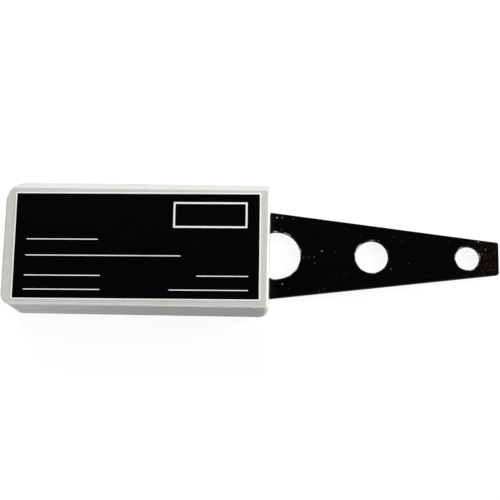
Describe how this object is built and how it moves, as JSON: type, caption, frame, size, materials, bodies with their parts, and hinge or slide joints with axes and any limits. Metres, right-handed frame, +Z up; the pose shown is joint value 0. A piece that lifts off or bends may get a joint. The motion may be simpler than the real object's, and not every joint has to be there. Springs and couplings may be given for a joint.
{
  "type": "degaussing wand",
  "caption": "Hand-held permanent-magnet degaussing wand: a flat light grey moulded case with a black face label and a tapered black handle plate with round holes.",
  "frame": {"origin": "middle of the whole wand's footprint, on the flat surface that the working face rests on", "axes": "+X from the nose of the case to the tip of the handle, +Y to the long edge of the case that has the wide upper bevel, +Z up from the working face to the label"},
  "size_m": [0.2766, 0.07, 0.0318],
  "materials": {
    "case_plastic": "light grey moulded ABS, satin",
    "label_film": "black printed polyester film with a pale edge, satin",
    "handle_coating": "black powder coat on aluminium plate",
    "screw_steel": "zinc plated",
    "insert_brass": "plain",
    "carrier_aluminium": "milled",
    "magnet_nickel": "nickel plated neodymium",
    "yoke_steel": "ground mild steel",
    "pad_foam": "closed-cell foam"
  },
  "bodies": {
    "root": {"case_shell": "case_plastic", "base_cover": "case_plastic", "cover_screws": "screw_steel", "cover_inserts": "insert_brass", "face_label": "label_film", "handle_plate": "handle_coating", "handle_screws": "screw_steel", "magnet_carrier": "carrier_aluminium", "magnet_1": "magnet_nickel", "magnet_2": "magnet_nickel", "magnet_3": "magnet_nickel", "magnet_4": "magnet_nickel", "pole_spacer_1": "carrier_aluminium", "pole_spacer_2": "carrier_aluminium", "pole_spacer_3": "carrier_aluminium", "back_yoke": "yoke_steel", "yoke_screws": "screw_steel", "foam_pad": "pad_foam"}
  },
  "joints": []
}
